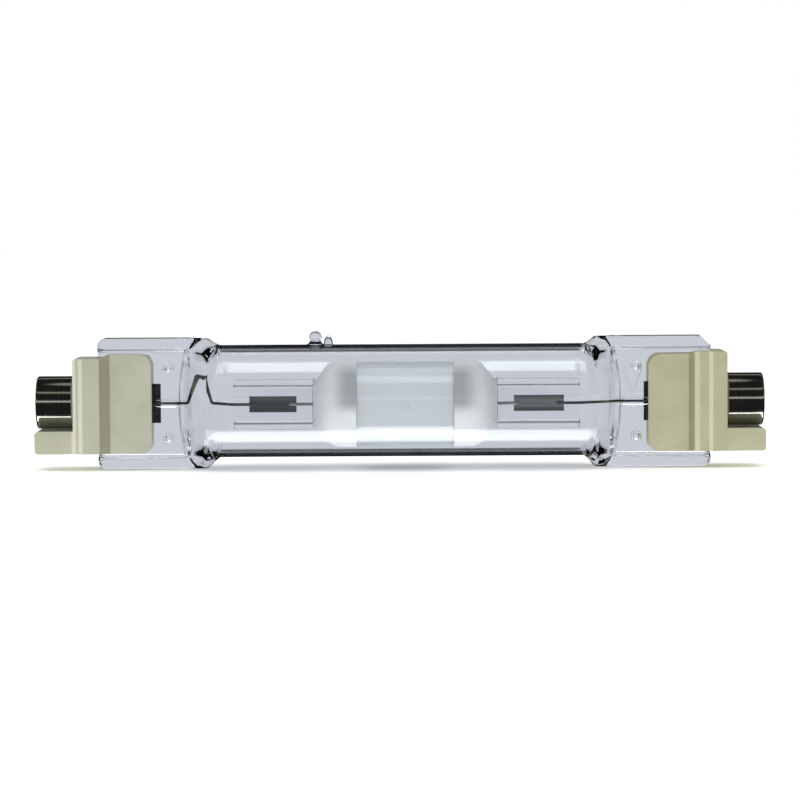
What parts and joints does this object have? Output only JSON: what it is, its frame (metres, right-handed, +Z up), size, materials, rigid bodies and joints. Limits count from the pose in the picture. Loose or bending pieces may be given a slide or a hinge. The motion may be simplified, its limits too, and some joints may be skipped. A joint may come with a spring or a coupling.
{
  "type": "double-ended metal halide lamp",
  "caption": "Tubular quartz discharge lamp with pressed ends, an inner arc tube with white end coats, and a ceramic cap with a round contact at each end.",
  "frame": {"origin": "centre of the lamp's length and depth, on the plane of the lower edges of its two press seals", "axes": "+X along the lamp to the end with the straight lead, +Y back through the flat of the press seals, +Z up through the exhaust tip"},
  "size_m": [0.163, 0.0252, 0.0308],
  "materials": {
    "clear_quartz": "clear fused quartz, fire-polished",
    "burner_quartz": "clear fused quartz with a faint green-grey cast",
    "white_coat": "matt baked zirconia coat",
    "tungsten": "drawn tungsten, dull grey",
    "molybdenum": "etched molybdenum foil and drawn wire, dark grey",
    "cream_ceramic": "unglazed cream steatite with a fine grain",
    "cement": "matt cap cement",
    "nickel": "bright nickel plate, turned",
    "mercury": "liquid mercury"
  },
  "bodies": {
    "root": {"outer_envelope": "clear_quartz", "arc_tube": "burner_quartz", "end_coating_left": "white_coat", "end_coating_right": "white_coat", "electrode_rod_left": "tungsten", "electrode_rod_right": "tungsten", "electrode_coil_left": "tungsten", "electrode_coil_right": "tungsten", "arc_foil_left": "molybdenum", "arc_foil_right": "molybdenum", "lead_wire_left": "molybdenum", "lead_wire_right": "molybdenum", "seal_foil_left": "molybdenum", "seal_foil_right": "molybdenum", "terminal_lead_left": "molybdenum", "terminal_lead_right": "molybdenum", "ceramic_cap_left": "cream_ceramic", "ceramic_cap_right": "cream_ceramic", "cap_cement_left": "cement", "cap_cement_right": "cement", "contact_left": "nickel", "contact_right": "nickel", "mercury_bead": "mercury"}
  },
  "joints": []
}
